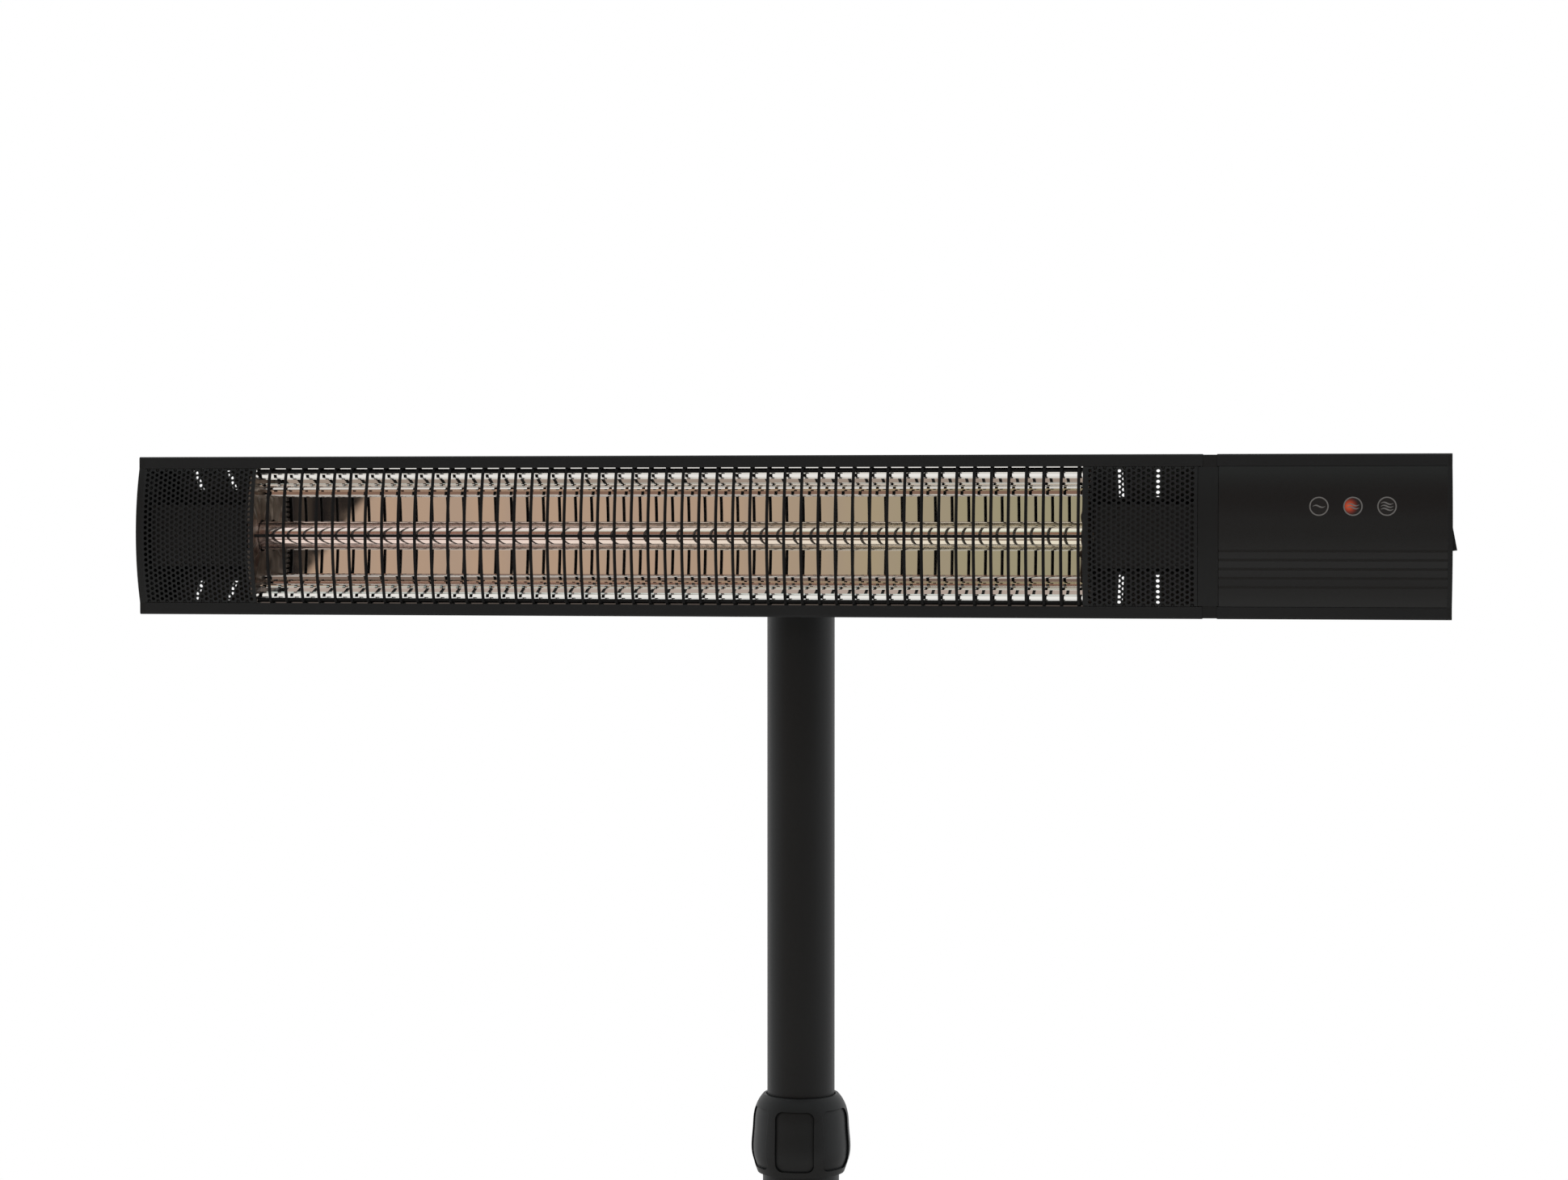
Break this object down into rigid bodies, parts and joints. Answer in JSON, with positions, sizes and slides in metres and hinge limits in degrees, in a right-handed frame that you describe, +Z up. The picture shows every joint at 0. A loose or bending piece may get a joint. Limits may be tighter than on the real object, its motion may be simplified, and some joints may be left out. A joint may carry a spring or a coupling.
{
  "type": "infrared patio heater tower",
  "caption": "Free-standing infrared patio heater: a long tilting head with a wire-guarded lamp and control box on a telescopic pole with a twist lock and a round weighted base.",
  "frame": {"origin": "on the floor under the pole axis, at the centre of the round base", "axes": "+Z up along the pole, -Y is the way the heater faces, +X along the head towards the control box"},
  "size_m": [0.8436, 0.5, 1.6553],
  "materials": {
    "satin_black_metal": "fine satin black powder coat",
    "satin_black_tube": "smooth satin black powder coat",
    "black_plastic": "fine-grained moulded plastic",
    "panel_plastic": "satin moulded plastic",
    "mirror_aluminium": "polished",
    "guard_wire": "satin black coated wire",
    "zinc_steel": "zinc plated",
    "cast_black": "painted cast metal",
    "cast_aluminium": "black coated casting",
    "concrete": "cast cement",
    "rubber": "matt",
    "nylon": "natural nylon",
    "gold_quartz": "rose-gold coated quartz",
    "carbon": "carbon fibre ribbon",
    "ceramic": "matt white steatite",
    "silicone": "dark silicone sleeve",
    "dark_screws": "black zinc plated",
    "heat_dulled_steel": "heat-dulled sheet",
    "smoked_window": "smoked clear plastic",
    "lit_window": "lit smoked plastic",
    "board_green": "lacquered laminate",
    "relay_blue": "moulded case",
    "led": "tinted resin",
    "brass": "tinned",
    "white_plastic": "moulded nylon"
  },
  "bodies": {
    "stand": {"base_cover": "satin_black_metal", "base_weight": "concrete", "bottom_plate": "satin_black_metal", "rubber_feet": "rubber", "pole_socket": "cast_black", "base_bolts": "zinc_steel", "base_nuts": "zinc_steel", "lower_tube": "satin_black_tube", "threaded_sleeve": "black_plastic", "collet": "nylon"},
    "lock_nut": {"lock_nut": "black_plastic"},
    "mast": {"upper_tube": "satin_black_tube", "glide_bush": "nylon", "mast_head": "cast_aluminium", "mast_screws": "dark_screws", "tilt_washers": "nylon"},
    "head": {"head_bracket": "cast_aluminium", "bracket_screws": "zinc_steel", "bracket_nuts": "zinc_steel", "heater_housing": "satin_black_metal", "left_end_cap": "black_plastic", "housing_screws": "dark_screws", "perforated_cover_left": "satin_black_metal", "perforated_cover_right": "satin_black_metal", "wire_guard": "guard_wire", "reflector": "mirror_aluminium", "reflector_end_left": "mirror_aluminium", "reflector_end_right": "mirror_aluminium", "quartz_tube": "gold_quartz", "heating_ribbon": "carbon", "lamp_cap_left": "ceramic", "lamp_cap_right": "ceramic", "lamp_holder_left": "heat_dulled_steel", "lamp_holder_right": "heat_dulled_steel", "lamp_leads": "silicone", "lead_grommets": "silicone", "joint_frame": "black_plastic", "joint_rivets": "zinc_steel", "heat_shield": "zinc_steel", "thermal_cutout": "zinc_steel", "control_housing": "satin_black_metal", "control_panel": "panel_plastic", "indicator_window_low": "smoked_window", "indicator_window_medium": "lit_window", "indicator_window_high": "smoked_window", "indicator_lights": "led", "circuit_board": "board_green", "board_screws": "zinc_steel", "board_relays": "relay_blue", "board_power_parts": "black_plastic", "tip_over_switch": "white_plastic", "remote_receiver": "black_plastic", "terminal_block": "white_plastic", "cable_gland": "black_plastic", "right_end_cap": "black_plastic", "switch_body": "black_plastic", "switch_blades": "brass"},
    "tilt_knob": {"tilt_stud": "zinc_steel", "tilt_knob": "black_plastic"},
    "rocker": {"rocker": "black_plastic"}
  },
  "joints": [
    {"name": "mast_height", "type": "slide", "parent": "stand", "child": "mast", "axis": [0, 0, 1], "range_m": [-0.29, 0.45]},
    {"name": "lock_twist", "type": "hinge", "parent": "stand", "child": "lock_nut", "pos_m": [0, 0, 1.204], "axis": [0, 0, 1], "range_deg": [0, 120]},
    {"name": "head_tilt", "type": "hinge", "parent": "mast", "child": "head", "pos_m": [0, -0.012, 1.583], "axis": [1, 0, 0], "range_deg": [-15, 45]},
    {"name": "knob_turn", "type": "hinge", "parent": "head", "child": "tilt_knob", "pos_m": [0.03, -0.012, 1.583], "axis": [1, 0, 0], "continuous": true},
    {"name": "power_rocker", "type": "hinge", "parent": "head", "child": "rocker", "pos_m": [0.41707, -0.094, 1.603], "axis": [0, 1, 0], "range_deg": [0, 21.6]}
  ]
}
